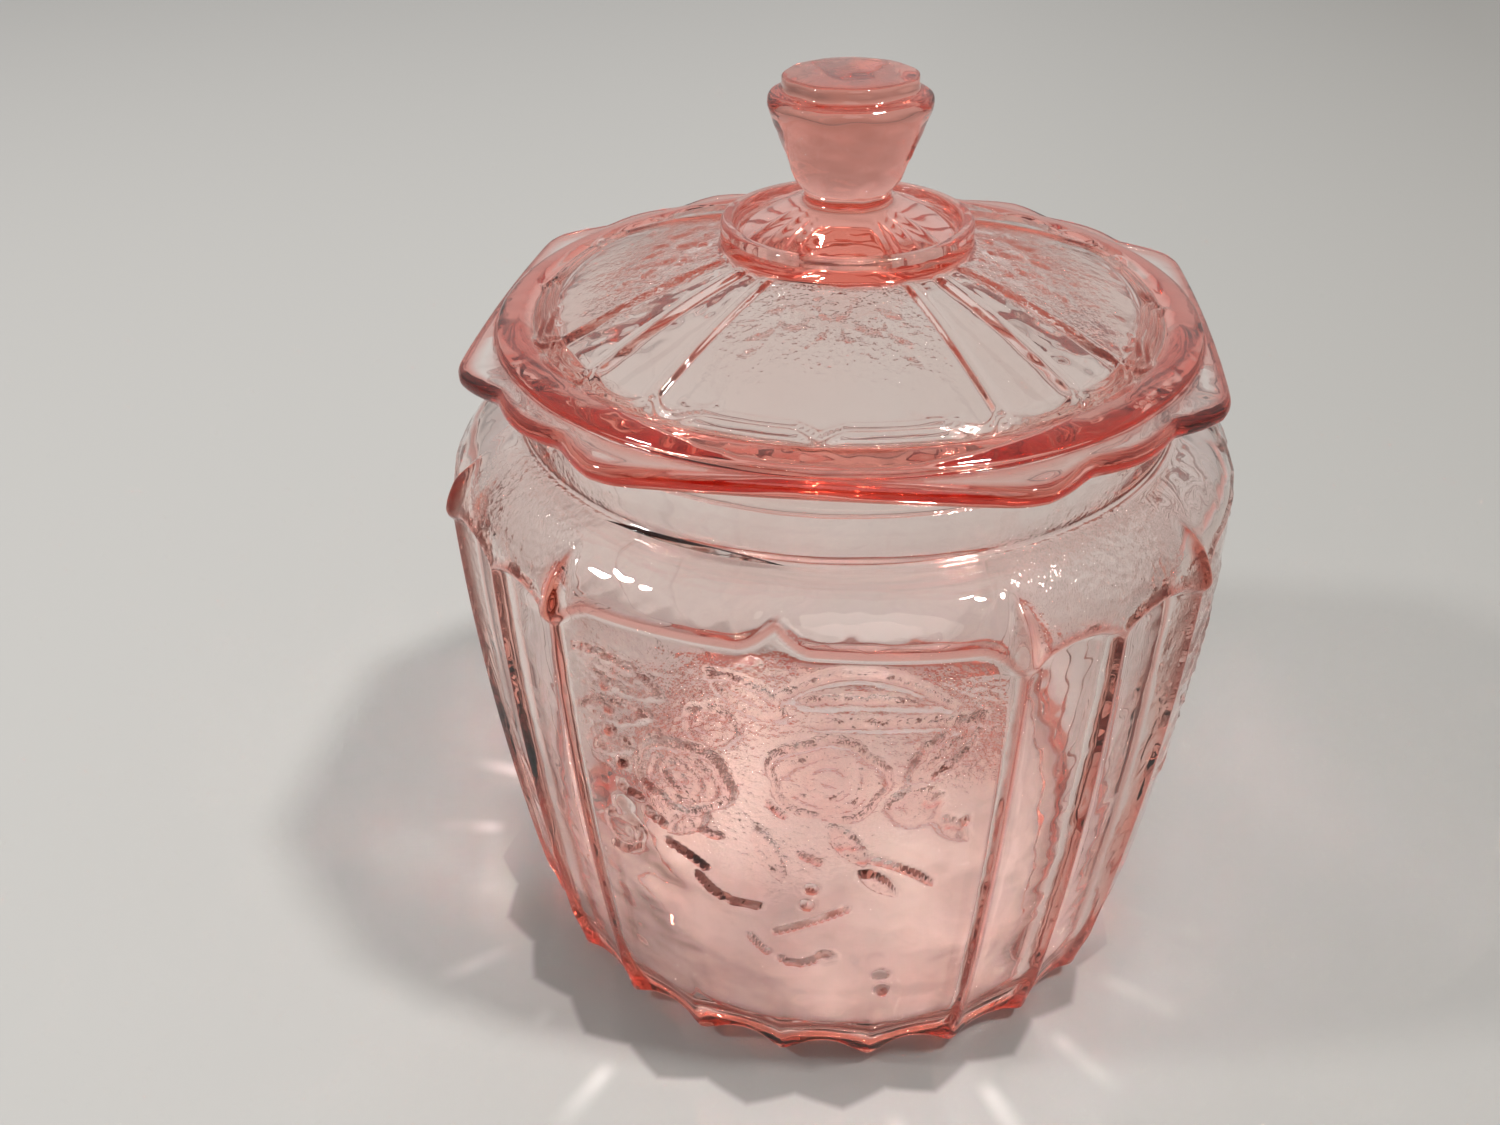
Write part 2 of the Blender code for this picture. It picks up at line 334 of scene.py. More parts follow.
def rose(x, y, centre, radius, turn, height=1.5):
    """An open rose seen from above: lobed outer petals round two broken rings and a bud."""
    dx, dy = x - centre[0], y - centre[1]
    r = np.hypot(dx, dy) / radius
    theta = np.arctan2(dy, dx) + turn
    lobes = 0.88 + 0.12 * np.abs(np.cos(2.5 * theta))
    inside = (lobes - r) * radius
    body = smooth(inside / 0.8) * 0.45
    rim = np.exp(-((inside - 1.1) / 0.6) ** 2) * 0.65
    creases = np.exp(-(np.sin(2.5 * theta + math.pi / 2) * r * radius / 0.9) ** 2) * (r > 0.55) * 0.35
    middle = np.exp(-((r - 0.58 - 0.05 * np.cos(3 * theta)) * radius / 0.6) ** 2)
    middle *= 0.45 * smooth((np.cos(1.5 * theta) + 1.0) / 0.5)
    inner = np.exp(-((r - 0.33 - 0.05 * np.cos(2 * theta + 1.0)) * radius / 0.55) ** 2) * 0.45
    bud = np.exp(-(r * radius / 1.0) ** 2) * 0.4
    relief = body + rim * smooth(inside / 0.8) - creases * body + middle + inner + bud
    return height * np.clip(relief, 0.0, 1.1)


def stroke(x, y, points, width, height=1.0):
    """A raised stem along a smooth curve through three points."""
    start, middle, end = (np.array(point, dtype=float) for point in points)
    control = 2.0 * middle - (start + end) / 2.0
    shares = np.linspace(0.0, 1.0, 33)[:, None]
    path = (1 - shares) ** 2 * start + 2 * shares * (1 - shares) * control + shares ** 2 * end
    nearest = np.full(np.broadcast(x, y).shape, 1e9)
    for a, b in zip(path[:-1], path[1:]):
        span = b - a
        share = np.clip(((x - a[0]) * span[0] + (y - a[1]) * span[1]) / (span @ span), 0.0, 1.0)
        away = np.hypot(x - a[0] - share * span[0], y - a[1] - share * span[1])
        nearest = np.minimum(nearest, away)
    return height * smooth((width / 2 - nearest) / 0.8 + 0.5)


def bud(x, y, centre, radius, turn):
    """A closed bud: a small round knob with two curved sepals."""
    dx, dy = x - centre[0], y - centre[1]
    r = np.hypot(dx, dy)
    side = np.cos(np.arctan2(dy, dx) - turn)
    knob = smooth((radius - r) / 0.8) * 0.8
    groove = np.exp(-((r - radius * 0.55) / 0.5) ** 2) * 0.45 * smooth(side + 0.4)
    return np.clip(knob - groove, 0.0, None)


def jar_stems(x, y):
    """The broken stems and tendrils of a jar spray, standing higher than its leaves."""
    paths = [
        ((-28.0, 79.5), (-26.5, 77.9), (-23.8, 77.4)),
        ((-22.8, 74.8), (-20.0, 72.5), (-16.8, 71.4)),
        ((-19.2, 67.8), (-15.6, 65.8), (-12.0, 63.0)),
        ((-13.8, 60.4), (-9.3, 55.6), (-2.9, 54.9)),
        ((-13.4, 74.0), (-11.4, 73.2), (-9.0, 72.8)),
        ((-0.9, 84.0), (0.2, 82.3), (1.6, 81.0)),
        ((-0.3, 47.6), (5.4, 51.6), (12.0, 56.6)),
        ((-4.8, 45.0), (-3.2, 42.4), (-1.4, 40.6)),
        ((0.4, 39.4), (3.4, 38.3), (6.8, 40.4)),
        ((13.4, 71.4), (19.8, 69.0), (26.4, 63.9)),
        ((9.8, 74.4), (11.3, 74.8), (12.8, 74.7)),
        ((23.9, 85.8), (25.0, 85.4), (26.4, 85.8)),
        ((28.0, 79.9), (30.3, 79.0), (32.6, 80.0)),
        ((4.2, 71.2), (5.8, 70.2), (7.3, 69.6)),
        ((-31.4, 60.4), (-28.6, 60.5), (-25.6, 63.0)),
    ]
    stems = [stroke(x, y, path, 0.8, STEM_HEIGHT) for path in paths]
    drops = [(-28.9, 103.1), (-28.4, 97.8), (-29.0, 92.4), (-26.9, 85.0),
             (6.0, 61.8), (5.2, 57.0), (18.6, 30.0)]
    stems += [STEM_HEIGHT * smooth((1.5 - np.hypot(x - place[0], y - place[1])) / 0.8) for place in drops]
    return np.maximum.reduce(stems)


def jar_spray(x, y):
    """The rose spray of a jar panel, in panel millimetres: x from the middle, y from the foot."""
    motifs = [
        rose(x, y, (-15.0, 86.5), 9.4, 0.3),
        rose(x, y, (8.5, 91.0), 10.6, 1.1),
        rose(x, y, (-9.7, 100.0), 5.3, 0.0, 0.9),
        rose(x, y, (22.8, 84.6), 5.6, 0.7, 0.85),
        leaf(x, y, (-10.8, 112.4), (2.2, 104.0), 7.0),
        stroke(x, y, ((1.8, 108.6), (13.5, 114.2), (27.2, 107.4)), 1.9, 1.1),
        stroke(x, y, ((5.0, 108.2), (14.0, 108.9), (24.0, 108.4)), 2.6, 1.0),
        stroke(x, y, ((7.0, 103.2), (18.5, 104.0), (30.5, 103.9)), 2.0, 0.9),
        leaf(x, y, (34.4, 106.0), (21.0, 90.5), 8.6, 1.1, 5),
        leaf(x, y, (-37.0, 109.4), (-17.6, 104.0), 8.2, 1.0, 6),
        leaf(x, y, (-37.0, 95.2), (-20.0, 99.2), 6.4, 0.9, 5),
        leaf(x, y, (-34.0, 86.0), (-24.0, 91.0), 4.8, 0.8, 5),
        leaf(x, y, (-19.0, 70.5), (-11.0, 79.0), 5.0),
        leaf(x, y, (15.0, 69.0), (9.0, 80.0), 5.2),
        leaf(x, y, (33.5, 74.5), (26.0, 82.0), 4.6),
        leaf(x, y, (21.0, 60.5), (13.5, 68.0), 4.0),
        leaf(x, y, (1.5, 62.0), (-3.5, 78.0), 5.4, 0.85, 5),
        bud(x, y, (-28.4, 67.2), 4.6, -0.8),
        bud(x, y, (-28.0, 73.4), 2.4, 0.6),
        bud(x, y, (11.8, 84.0), 3.4, -0.5),
        bud(x, y, (8.6, 41.2), 2.2, 0.4),
        bud(x, y, (18.6, 35.2), 2.1, 1.2),
        jar_stems(x, y),
    ]
    return np.maximum.reduce(motifs)


def lid_spray(x, y):
    """The smaller spray of a dome panel: x from the middle, y outwards from the axis."""
    motifs = [
        rose(x, y, (0.0, 31.0), 3.6, 0.4, 0.45),
        rose(x, y, (-6.8, 34.0), 3.2, 1.0, 0.4),
        rose(x, y, (6.6, 34.2), 3.3, 0.2, 0.4),
        leaf(x, y, (-12.5, 31.5), (-6.5, 30.0), 3.2, 0.42, 4),
        leaf(x, y, (12.5, 31.5), (6.5, 30.0), 3.2, 0.42, 4),
        leaf(x, y, (-4.5, 27.0), (-1.0, 28.6), 2.6, 0.4),
        leaf(x, y, (5.0, 27.0), (1.2, 28.6), 2.6, 0.4),
        leaf(x, y, (-14.5, 38.5), (-9.5, 36.0), 2.8, 0.4),
        leaf(x, y, (14.5, 38.5), (9.5, 36.0), 2.8, 0.4),
        leaf(x, y, (-2.5, 39.5), (-0.8, 35.0), 2.6, 0.38),
        leaf(x, y, (4.0, 39.8), (1.8, 35.2), 2.6, 0.38),
        leaf(x, y, (-16.5, 42.5), (-12.0, 40.5), 2.2, 0.35),
        leaf(x, y, (16.5, 42.5), (12.0, 40.5), 2.2, 0.35),
        stroke(x, y, ((-17.5, 53.2), (-20.5, 53.4), (-23.5, 51.6)), 0.9, 0.4),
        stroke(x, y, ((15.0, 54.2), (18.5, 54.0), (22.0, 52.2)), 0.9, 0.4),
    ]
    return np.maximum.reduce(motifs)


# ---- Jar -----------------------------------------------------------------------------------------

def ridge_radius(z):
    """Radius of the two ridges beside a panel: the jar widens from heel to shoulder, less and less."""
    rise = np.clip((z - HEEL_Z) / (SHOULDER_Z - HEEL_Z), 0.0, 1.0)
    return HEEL_RADIUS + (RIDGE_RADIUS - HEEL_RADIUS) * (1.0 - (1.0 - rise) ** RIDGE_CURVE)


def panel_depth(x, z):
    """Distance of a bowed panel from the axis: a parabola through its two ridges."""
    rise = np.clip((z - HEEL_Z) / (SHOULDER_Z - HEEL_Z), 0.0, 1.0)
    sag = HEEL_SAG + (SHOULDER_SAG - HEEL_SAG) * rise
    half = math.radians(PANEL_HALF)
    across = x / (ridge_radius(z) * math.sin(half))
    return ridge_radius(z) * math.cos(half) + sag * (1.0 - across ** 2)


def plain_radius(angles, z):
    """Outer radius before fields are sunk, with the crease between panel and corner at the ridge."""
    a = np.abs(folded(angles))
    body_z = min(z, SHOULDER_Z)
    half = math.radians(PANEL_HALF)
    across = np.tan(np.radians(a)) / math.tan(half)
    panel = panel_depth(across * ridge_radius(body_z) * math.sin(half), body_z) / np.cos(np.radians(a))
    drop = CORNER_RIDGE_DROP * (a - PANEL_HALF) / (CORNER - PANEL_HALF)
    corner = ridge_radius(body_z) - drop * smooth((body_z - HEEL_Z) / SHOULDER_Z)
    radius = np.where(a <= PANEL_HALF, panel, corner)
    if z > SHOULDER_Z:
        lift = min(1.0, (z - SHOULDER_Z) / SHOULDER_RISE)
        radius = NECK_ROOT_RADIUS + (radius - NECK_ROOT_RADIUS) * math.sqrt(1.0 - lift ** 2)
    return radius


def bracket_top(x):
    """Upper outline of a panel: nearly straight, with a cusp in the middle and dropped ends."""
    reach = np.abs(x)
    cusp = BRACKET_CUSP * np.clip(1.0 - reach / 5.5, 0.0, 1.0) ** 1.5
    ends = BRACKET_END * np.clip((reach - 31.0) / 8.0, 0.0, 1.5) ** 2
    return PANEL_TOP_Z + cusp - ends


def panel_across(folded_angles, z):
    """Distance in millimetres from the middle of a panel, along its width, and half that width."""
    half_width = ridge_radius(z) * math.sin(math.radians(PANEL_HALF))
    share = np.tan(np.radians(folded_angles)) / math.tan(math.radians(PANEL_HALF))
    return half_width * share, half_width


def panel_mask(x, half_width, z):
    """1 on the sunk field of a panel, 0 on its border."""
    side = smooth((half_width - CREST / 2 - np.abs(x)) / SIDE_BEVEL)
    return side * smooth((bracket_top(x) - z) / TOP_BEVEL)


def panel_sunk(folded_angles, z):
    """How deep a panel's field lies below the ridges."""
    x, half_width = panel_across(folded_angles, z)
    scallop = HEEL_SCALLOP * between_tips(folded_angles)
    scallop = scallop * (1.0 - smooth((z - HEEL_Z) / HEEL_SCALLOP_TOP_Z))
    return FIELD_STEP * panel_mask(x, half_width, z) + scallop


def panel_spray(folded_angles, z):
    """Height of the rose spray on a panel."""
    x, half_width = panel_across(folded_angles, z)
    if z > PANEL_TOP_Z or z < SPRAY_FOOT_Z:
        return np.zeros_like(x)
    mask = panel_mask(x, half_width - 0.8, z) * (np.abs(folded_angles) < PANEL_HALF)
    return jar_spray(x, np.full_like(x, z)) * mask


def flute_sunk(a, z):
    """Depth of an arched flute: a step round its outline and a hollow across it."""
    radius = ridge_radius(z) * math.radians(1.0)
    half = (CORNER - FLUTE_MID) * radius - CREST / 2
    across = (a - FLUTE_MID) * radius
    side = smooth((half - np.abs(across)) / SIDE_BEVEL)
    top_z = FLUTE_TOP_Z + FLUTE_ARCH * np.sqrt(np.clip(1.0 - (across / (half + 0.7)) ** 2, 0.0, 1.0))
    top = smooth((top_z - z) / TOP_BEVEL)
    heel = 0.9 * (1.0 - smooth((z - HEEL_Z) / HEEL_SCALLOP_TOP_Z))
    hollow = (FLUTE_HOLLOW + heel) * np.clip(1.0 - (across / half) ** 2, 0.0, 1.0)
    return (FIELD_STEP * side + hollow) * top


def shoulder_rib(a, z):
    """A raised rib that carries each ridge up over the shoulder, tapering to a point at the neck."""
    rise = (z - SHOULDER_Z) / SHOULDER_RISE
    width = SHOULDER_RIB_HALF * np.maximum(0.25, 1.0 - 0.75 * rise)
    fade = smooth(rise / 0.2) * (1.0 - smooth((rise - 0.6) / 0.36))
    return SHOULDER_RIB * fade * np.exp(-((a - PANEL_HALF) / width) ** 2)


def outline_bead(signed, z):
    """A low round bead along the ridges, the upper outline of each panel and the arches of the flutes."""
    a = np.abs(signed)
    degree = ridge_radius(z) * math.radians(1.0)
    beside = np.minimum(np.abs(a - PANEL_HALF), np.abs(a - CORNER)) * degree
    ridge = beside + np.maximum(0.0, z - SHOULDER_Z)
    x, _ = panel_across(signed, z)
    bracket = np.abs(bracket_top(x) - TOP_BEVEL / 2 - z)
    half = (CORNER - FLUTE_MID) * degree
    across, up = (a - FLUTE_MID) * degree, np.maximum(0.0, z - FLUTE_TOP_Z)
    share = np.hypot(across / half, up / FLUTE_ARCH)
    arch = np.abs(1.0 - 1.0 / np.maximum(share, 0.1)) * np.hypot(across, up)
    outline = np.where(a <= PANEL_HALF, bracket, np.where(z > FLUTE_TOP_Z, arch, ridge))
    return BEAD_HEIGHT * smooth((BEAD_HALF - np.minimum(ridge, outline)) / BEAD_SIDE)


def moulded_radius(angles, z):
    """Outer radius with sunk fields and flutes, before the ridges are softened."""
    signed = folded(angles)
    a = np.abs(signed)
    sunk = np.where(a <= PANEL_HALF, panel_sunk(signed, z), flute_sunk(a, z))
    return plain_radius(angles, z) - sunk + shoulder_rib(a, z) + outline_bead(signed, z)


def shoulder_wave(angles, z):
    """Slow unevenness of the shoulder, which breaks its highlights up."""
    turn = np.radians(angles)
    broad = np.sin(41 * turn + 0.5 * z) * np.sin(0.62 * z + 7 * turn)
    fine = np.sin(73 * turn - 0.8 * z + 0.4) * np.sin(0.9 * z - 19 * turn)
    place = smooth((z - SHOULDER_Z - 4.0) / 4.0) * (1.0 - smooth((z - SHOULDER_Z - 12.5) / 2.0))
    return SHOULDER_WAVE * (broad + 0.6 * fine) * place


def jar_radius(angles, z):
    """Outer radius of the finished jar at one height: softened ridges, shoulder wave, then the spray."""
    rear = smooth((np.abs((angles + 180.0) % 360.0 - 180.0) - 105.0) / 20.0)
    heel = 1.0 - smooth((z - HEEL_Z) / 12.0)
    spread = 1.0 + np.maximum(HEEL_SOFTENING * heel, REAR_SOFTENING * rear)
    soft = sum(weight * moulded_radius(angles + step * spread, z) for step, weight in RIDGE_SOFTENING)
    soft = soft + shoulder_wave(angles, z)
    side = 1.0 - SIDE_CALM * smooth((np.abs((angles + 180.0) % 360.0 - 180.0) - 50.0) / 20.0)
    return soft + panel_spray(folded(angles), z) * side


def ripple(angles, radius, phase):
    """Gentle unevenness of a nearly flat floor, from -1 to 1."""
    x, y = radius * np.sin(np.radians(angles)), radius * np.cos(np.radians(angles))
    broad = np.sin(0.31 * x + 0.9 + phase) * np.sin(0.27 * y + 0.4 - phase)
    fine = np.sin(0.35 * (x + 0.7 * y) + 2.0 * phase) * np.sin(0.43 * (y - 0.6 * x) - 0.6)
    return 0.6 * broad + 0.4 * fine


def inner_wave(angles, z):
    """Slow unevenness of the inside wall, left by the plunger that pressed it."""
    turn = np.radians(angles)
    broad = np.sin(5 * turn + 0.055 * z) * np.sin(0.21 * z + 1.3 + 2 * turn)
    fine = np.sin(13 * turn - 0.16 * z + 0.7) * np.sin(0.47 * z + 3 * turn)
    return INNER_WAVE * (0.6 * broad + 0.4 * fine) * (1.0 - smooth((z - 60.0) / 35.0))


def inner_radius(angles, z):
    """Radius of the smooth inside wall, a rounded square that follows the outside loosely."""
    body_z = np.minimum(z, SHOULDER_Z)
    panel = panel_depth(0.0, body_z) - WALL
    corner = ridge_radius(body_z) - CORNER_WALL
    radius = (panel + corner) / 2 + (panel - corner) / 2 * np.cos(np.radians(4 * angles))
    lift = np.clip((z - SHOULDER_Z) / INNER_RISE, 0.0, 1.0)
    root = NECK_ROOT_RADIUS - WALL
    return root + (radius - root) * np.sqrt(1.0 - lift ** 2) + inner_wave(angles, z)


def jar_rings():
    """Rings of the jar, from the middle of its underside, up outside and down inside."""
    rings = [ring(COARSE, radius, FOOT_RECESS + FOOT_WAVE * ripple(COARSE, radius, 2.0))
             for radius in np.arange(3.0, FOOT_INNER - 4.0, 4.0)]
    rings += [ring(COARSE, r, z) for r, z in ((FOOT_INNER - 2.2, FOOT_RECESS), (FOOT_INNER - 0.9, 1.5),
                                              (FOOT_INNER, 0.3), (FOOT_INNER + 0.8, FOOT_CLEAR),
                                              (FOOT_OUTER - 1.0, FOOT_CLEAR), (FOOT_OUTER, 0.25),
                                              (FOOT_OUTER + 0.8, 1.3), (FOOT_OUTER + 2.0, 2.7))]
    heel = jar_radius(DENSE, HEEL_Z)
    arch = HEEL_ARCH * between_tips(DENSE)
    for inset, z in ((3.4, 2.9), (2.4, 2.95), (1.45, 3.2), (0.7, 3.65), (0.2, 4.3)):
        rings.append(ring(DENSE, heel - inset, z + arch))
    heights = np.concatenate([np.linspace(HEEL_Z, 10.0, 8), np.linspace(11.3, 27.0, 12),
                              np.arange(27.8, 108.0, 0.82), np.arange(108.4, 122.4, 0.55)])
    turns = np.linspace(math.asin(10.4 / SHOULDER_RISE), math.pi / 2, 13)
    heights = np.concatenate([heights, SHOULDER_Z + SHOULDER_RISE * np.sin(turns[1:])])
    for z in heights:
        rings.append(ring(DENSE, jar_radius(DENSE, z), z + arch * (1.0 - smooth((z - HEEL_Z) / 12.0))))
    root_z = SHOULDER_Z + SHOULDER_RISE
    neck = arc(NECK_RADIUS + NECK_FILLET, root_z + NECK_FILLET, NECK_FILLET, 262, 180, 7)
    neck += [(NECK_RADIUS, z) for z in np.linspace(root_z + NECK_FILLET + 1.0, RIM_Z - RIM_ROUND - 1.0, 4)]
    neck += arc(NECK_RADIUS - RIM_ROUND, RIM_Z - RIM_ROUND, RIM_ROUND, 0, 90, 6)
    neck += arc(MOUTH_RADIUS + RIM_ROUND, RIM_Z - RIM_ROUND, RIM_ROUND, 90, 180, 6)
    neck += [(MOUTH_RADIUS, z) for z in np.linspace(RIM_Z - RIM_ROUND - 1.0, root_z, 4)]
    inner_root = NECK_ROOT_RADIUS - WALL
    inner_fillet = inner_root - MOUTH_RADIUS
    neck += arc(inner_root, SHOULDER_Z + INNER_RISE + inner_fillet, inner_fillet, 180, 262, 6)
    rings += [ring(COARSE, radius, z) for radius, z in neck]
    turns = np.linspace(math.pi / 2, 0.0, 12)
    heights = np.concatenate([SHOULDER_Z + INNER_RISE * np.sin(turns),
                              np.linspace(SHOULDER_Z - 4.0, FLOOR_Z + INNER_HEEL, 24)])
    rings += [ring(COARSE, inner_radius(COARSE, z), z) for z in heights]
    wall = inner_radius(COARSE, FLOOR_Z + INNER_HEEL)
    for turn in np.radians(np.linspace(8, 90, 11)):
        rings.append(ring(COARSE, wall - INNER_HEEL * (1 - math.cos(turn)),
                          FLOOR_Z + INNER_HEEL * (1 - math.sin(turn))))
    for radius in np.arange(wall.min() - INNER_HEEL - 1.0, 2.0, -3.6):
        rings.append(ring(COARSE, radius, FLOOR_Z + FLOOR_WAVE * ripple(COARSE, radius, 0.0)))
    return rings


def jar_stipple(verts):
    """Where the jar's surface is stippled: round the spray and on the corner shoulders."""
    radius = np.hypot(verts[:, 0], verts[:, 1])
    azimuth = np.degrees(np.arctan2(verts[:, 0], -verts[:, 1]))
    signed = folded(azimuth)
    a = np.abs(signed)
    z = verts[:, 2]
    x = radius * np.sin(np.radians(signed))
    outside = radius > 68.0
    low = 52.0 + 0.9 * np.abs(x)
    panel = (a < 28.3) * smooth((z - low) / 10.0) * smooth((bracket_top(x) - 5.0 - z) / 4.0)
    shoulder = smooth((a - 31.0) / 2.0) * smooth((z - 113.0) / 4.0) * (z < 127.0)
    return np.where(outside | (z > 112.0), panel + 0.8 * shoulder, 0.0)


def jar_painted_shade(verts):
    """Painted shade where the glass shows a deeper colour: heel, beads, ribs of the shoulder, the raised
    spray and low down, mostly on the front.
    """
    radius = np.hypot(verts[:, 0], verts[:, 1])
    azimuth = np.degrees(np.arctan2(verts[:, 0], -verts[:, 1]))
    signed = folded(azimuth)
    z = verts[:, 2]
    wall = smooth(radius - inner_radius(azimuth, np.maximum(z, FLOOR_Z + INNER_HEEL)) - 1.0)
    outside = np.where(z < FLOOR_Z + INNER_HEEL, smooth((radius - 62.5) / 1.5), wall)
    front = 1.0 - smooth((np.abs(azimuth) - PAINTED_SHADE_SIDE) / PAINTED_SHADE_FADE)
    heel = HEEL_PAINTED_SHADE * smooth((HEEL_PAINTED_SHADE_TOP_Z - HEEL_PAINTED_SHADE_DIP * between_tips(signed) - z) / 2.0)
    low = LOW_PAINTED_SHADE * smooth((LOW_PAINTED_SHADE_TOP_Z - z) / LOW_PAINTED_SHADE_FADE)
    bead = BEAD_PAINTED_SHADE * front * outline_bead(signed, z) / BEAD_HEIGHT * (z > HEEL_Z)
    paler = 1.0 - RIGHT_RIB_PALER * np.exp(-((azimuth - PANEL_HALF) / 8.0) ** 2)
    raised = smooth((shoulder_rib(np.abs(signed), z) - 0.3) / 0.6)
    rib = RIB_PAINTED_SHADE * paler * front * raised * (z > SHOULDER_Z)
    x, half_width = panel_across(signed, z)
    field = front * panel_mask(x, half_width - 0.8, z) * (np.abs(signed) < PANEL_HALF) * (z > SPRAY_FOOT_Z)
    spray = SPRAY_PAINTED_SHADE * field * np.clip(jar_spray(x, z) / 1.2, 0.0, 1.0)
    stem = STEM_PAINTED_SHADE * field * jar_stems(x, z) / STEM_HEIGHT
    return np.maximum.reduce([heel, low, bead, rib, spray, stem]) * outside


def lid_painted_shade(verts):
    """Painted shade, a deeper colour, in the solid knob, the collar round its foot, the band and the
    flange's edge.
    """
    radius = np.hypot(verts[:, 0], verts[:, 1])
    z = verts[:, 2]
    knob = KNOB_PAINTED_SHADE * smooth((z - KNOB_FOOT_Z) / 2.0)
    wall = 0.6 + 0.4 * smooth((radius - COLLAR_INNER + 1.0) / 0.5)
    collar = COLLAR_PAINTED_SHADE * wall * (z > COLLAR_FOOT_Z + 0.5)
    edge = flange_radius(np.degrees(np.arctan2(verts[:, 0], -verts[:, 1])))
    band = smooth((radius - VALLEY_RADIUS - 0.5) / 1.5) * (radius < BAND_RADIUS + 0.5)
    rim = smooth((radius - edge + 2.6) / 1.0)
    band = BAND_PAINTED_SHADE * np.maximum(band, rim) * (z > SEAT_Z - 0.1) * (z < DOME_FOOT_Z)
    return np.maximum.reduce([knob, collar, band])


# ---- Lid -----------------------------------------------------------------------------------------

def flange_radius(angles):
    """Outline of the flange: bowed sides, and three lobes with two notches at each corner."""
    a = np.abs(folded(angles))
    side = (FLANGE_APOTHEM - FLANGE_BOW * (a / CORNER_START) ** 2) / np.cos(np.radians(a))
    phase = np.maximum(0.0, (a - CORNER_START) / (CORNER - CORNER_START)) / 2
    lobes = CORNER_LOBE + (FLANGE_CORNER - CORNER_LOBE) * (2 * phase - 1) ** 2
    dip = 1 - np.sqrt(np.cos(2 * math.pi * phase) ** 2 + 0.02)
    lobes = lobes - CORNER_NOTCH * dip
    blend = 0.5
    return -blend * np.logaddexp(-side / blend, -lobes / blend)


def foot_line(angles):
    """Scalloped outline at the dome's foot: a cusped bracket on each panel, an arch over each flute."""
    a = np.abs(folded(angles))
    cusp = 2.0 * np.clip(1.0 - a / 5.0, 0.0, 1.0) ** 1.6
    swell = 2.3 * np.exp(-((a - 25.5) / 4.0) ** 2)
    panel = FOOT_LINE + 0.6 + (cusp + swell) * smooth((PANEL_HALF - a) / 3.0)
    across = (a - FLUTE_MID) / (CORNER - FLUTE_MID)
    arch = FOOT_LINE + 0.6 + 3.2 * np.sqrt(np.clip(1.0 - across ** 2, 0.0, 1.0))
    return np.where(a <= PANEL_HALF, panel, arch)


def rib_distance(angles, radius):
    """Distance in millimetres from the nearest of the three ribs of a corner."""
    a = np.abs(folded(angles))
    degrees = np.minimum(np.abs(a - PANEL_HALF), np.abs(a - CORNER))
    return degrees * math.radians(1.0) * radius


def lid_profile(radius):
    """Height of the lid's upper side without relief: crowned cone, shallow valley, rounded band."""
    share = np.clip((radius - COLLAR_RADIUS) / (DOME_RADIUS - COLLAR_RADIUS), 0.0, 1.0)
    cone = COLLAR_FOOT_Z + (DOME_FOOT_Z - COLLAR_FOOT_Z) * share + DOME_CROWN * math.sin(math.pi * share)
    t = (radius - VALLEY_RADIUS) / (BAND_RADIUS - VALLEY_RADIUS)
    if t >= BAND_CREST:
        band = math.sqrt(max(0.0, 1.0 - ((t - BAND_CREST) / (1.0 - BAND_CREST)) ** 2))
    else:
        band = 1.0 - BAND_INNER_DIP * ((BAND_CREST - t) / BAND_CREST) ** 2
    if radius <= DOME_RADIUS:
        return cone
    valley = FLANGE_TOP_Z + BAND_RISE * (1.0 - BAND_INNER_DIP)
    if radius < VALLEY_RADIUS:
        blend = smooth((radius - DOME_RADIUS) / (VALLEY_RADIUS - DOME_RADIUS))
        return DOME_FOOT_Z + (valley - DOME_FOOT_Z) * blend
    return FLANGE_TOP_Z + BAND_RISE * band


def lid_relief(angles, radius):
    """What stands up from the lid's upper side: ribs, beads, sprays and the scalloped foot lines."""
    signed = folded(angles)
    a = np.abs(signed)
    away = rib_distance(angles, radius)
    foot = foot_line(angles)
    inside = smooth((foot - radius) / 1.0)
    start = smooth((radius - COLLAR_RADIUS - 0.6) / 1.5)
    crest = RIB_HEIGHT * smooth((RIB_HALF - away) / 0.9) * inside
    beads = 0.16 * math.cos(math.pi * radius / 1.3) ** 2 * np.exp(-((away - 2.9) / 0.45) ** 2)
    beads = beads * (a > PANEL_HALF) * (1.0 - smooth((radius - 50.0) / 2.0)) * start
    x = radius * np.sin(np.radians(signed))
    y = radius * np.cos(np.radians(signed))
    spray = lid_spray(x, y) * (a < PANEL_HALF) * smooth((away - 1.6) / 1.0)
    lines = sum(0.85 * np.exp(-((radius - foot - out) / 0.42) ** 2) for out in (0.0, 1.7))
    return (crest + beads + spray) * start + lines


